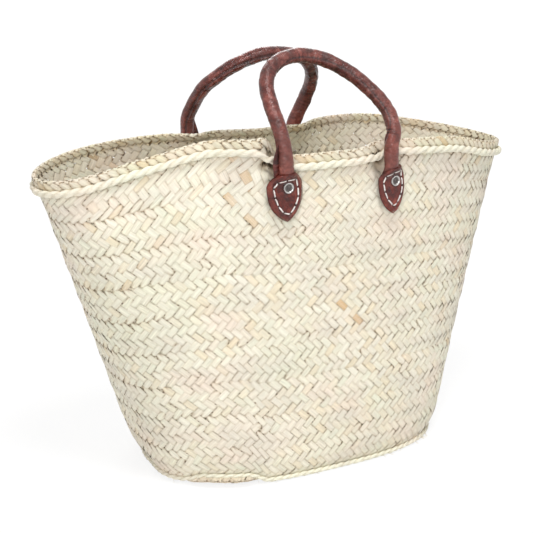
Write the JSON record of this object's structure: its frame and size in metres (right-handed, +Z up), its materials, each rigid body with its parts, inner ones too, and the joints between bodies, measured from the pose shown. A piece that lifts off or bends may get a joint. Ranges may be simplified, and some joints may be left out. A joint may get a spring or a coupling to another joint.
{
  "type": "straw beach bag",
  "caption": "Oval open basket of plaited palm leaf with a roped rim and two rolled leather handles on stitched, riveted tabs.",
  "frame": {"origin": "on the floor, under the middle of the base mat", "axes": "+X along the bag's long side, towards the right-hand end seen from the front; +Y from the front to the back; +Z up, from the base to the mouth"},
  "size_m": [0.5496, 0.2439, 0.4453],
  "materials": {
    "palm_plait": "matte",
    "palm_braid": "matte",
    "palm_cord": "matte",
    "handle_leather": "satin",
    "rope_core": "matte",
    "nickel": "satin",
    "waxed_thread": "satin"
  },
  "bodies": {
    "basket": {"base_center": "palm_plait", "base_round_1": "palm_plait", "base_round_2": "palm_plait", "wall_round_1": "palm_plait", "wall_round_2": "palm_plait", "wall_round_3": "palm_plait", "wall_round_4": "palm_plait", "wall_round_5": "palm_plait", "wall_round_6": "palm_plait", "wall_round_7": "palm_plait", "wall_round_8": "palm_plait", "wall_round_9": "palm_plait", "rim_braid": "palm_braid", "rim_cord": "palm_cord", "base_cord": "palm_cord", "front_left_tab": "handle_leather", "front_left_handle_end": "handle_leather", "front_left_rivet": "nickel", "front_left_rivet_cap": "nickel", "front_left_stitching": "waxed_thread", "front_right_tab": "handle_leather", "front_right_handle_end": "handle_leather", "front_right_rivet": "nickel", "front_right_rivet_cap": "nickel", "front_right_stitching": "waxed_thread", "back_left_tab": "handle_leather", "back_left_handle_end": "handle_leather", "back_left_rivet": "nickel", "back_left_rivet_cap": "nickel", "back_left_stitching": "waxed_thread", "back_right_tab": "handle_leather", "back_right_handle_end": "handle_leather", "back_right_rivet": "nickel", "back_right_rivet_cap": "nickel", "back_right_stitching": "waxed_thread"},
    "front_handle": {"front_handle_sleeve": "handle_leather", "front_handle_core": "rope_core"},
    "back_handle": {"back_handle_sleeve": "handle_leather", "back_handle_core": "rope_core"}
  },
  "joints": [
    {"name": "front_handle_fold", "type": "hinge", "parent": "basket", "child": "front_handle", "pos_m": [0.00043, -0.12817, 0.33299], "axis": [0.9973, 0.0035, -0.0739], "range_deg": [0, 175]},
    {"name": "back_handle_fold", "type": "hinge", "parent": "basket", "child": "back_handle", "pos_m": [-0.00097, 0.10074, 0.32397], "axis": [-0.9995, -0.0116, 0.0287], "range_deg": [0, 175]}
  ]
}
